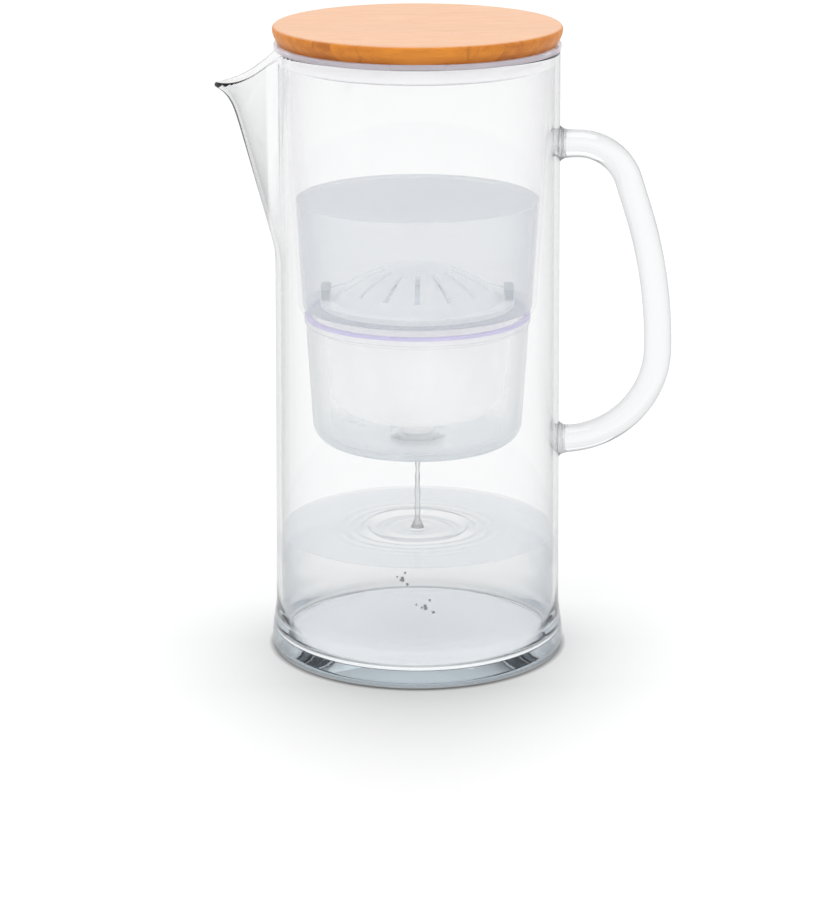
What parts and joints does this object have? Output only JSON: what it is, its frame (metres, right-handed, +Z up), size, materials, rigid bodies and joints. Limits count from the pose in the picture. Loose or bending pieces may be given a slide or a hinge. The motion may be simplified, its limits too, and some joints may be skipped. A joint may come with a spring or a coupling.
{
  "type": "water filter pitcher",
  "caption": "Tall glass jug with a drawn spout and rod handle, a hanging funnel with filter cup and cartridge, and a round bamboo lid that lifts off.",
  "frame": {"origin": "centre of the jug's flat underside, where it stands", "axes": "+Z up along the jug's axis, the spout points to -X and the handle to +X"},
  "size_m": [0.2047, 0.134, 0.2865],
  "materials": {
    "glass": "clear, polished",
    "handle_glass": "clear, polished",
    "funnel_plastic": "clear, faintly frosted",
    "cup_plastic": "frosted",
    "purple_seal": "satin",
    "nozzle_plastic": "satin",
    "cartridge_plastic": "translucent",
    "cap_plastic": "translucent",
    "silicone": "satin, translucent white",
    "oring_rubber": "satin",
    "screen_plastic": "fine moulded",
    "fleece": "felted",
    "carbon": "granular",
    "resin": "fine beads",
    "bamboo": "oiled, laminated strips",
    "plug_plastic": "satin",
    "screw_steel": "stainless"
  },
  "bodies": {
    "jug": {"glass_jug": "glass", "glass_handle": "handle_glass"},
    "funnel": {"funnel_reservoir": "funnel_plastic", "funnel_gasket": "silicone", "filter_cup": "cup_plastic", "cup_seal": "purple_seal", "outlet_nozzle": "nozzle_plastic"},
    "cartridge": {"cartridge_shell": "cartridge_plastic", "cartridge_cap": "cap_plastic", "cartridge_seal": "oring_rubber", "inlet_screen": "screen_plastic", "top_fleece": "fleece", "carbon_bed": "carbon", "divider_fleece": "fleece", "resin_bed": "resin", "outlet_screen": "screen_plastic"},
    "lid": {"lid_disc": "bamboo", "lid_plug": "plug_plastic", "lid_seal": "silicone", "lid_screws": "screw_steel"}
  },
  "joints": [
    {"name": "funnel_lift", "type": "slide", "parent": "jug", "child": "funnel", "axis": [0, 0, 1], "range_m": [0, 0.19]},
    {"name": "cartridge_lift", "type": "slide", "parent": "funnel", "child": "cartridge", "axis": [0, 0, 1], "range_m": [0, 0.08]},
    {"name": "lid_lift", "type": "slide", "parent": "funnel", "child": "lid", "axis": [0, 0, 1], "range_m": [0, 0.06]}
  ]
}
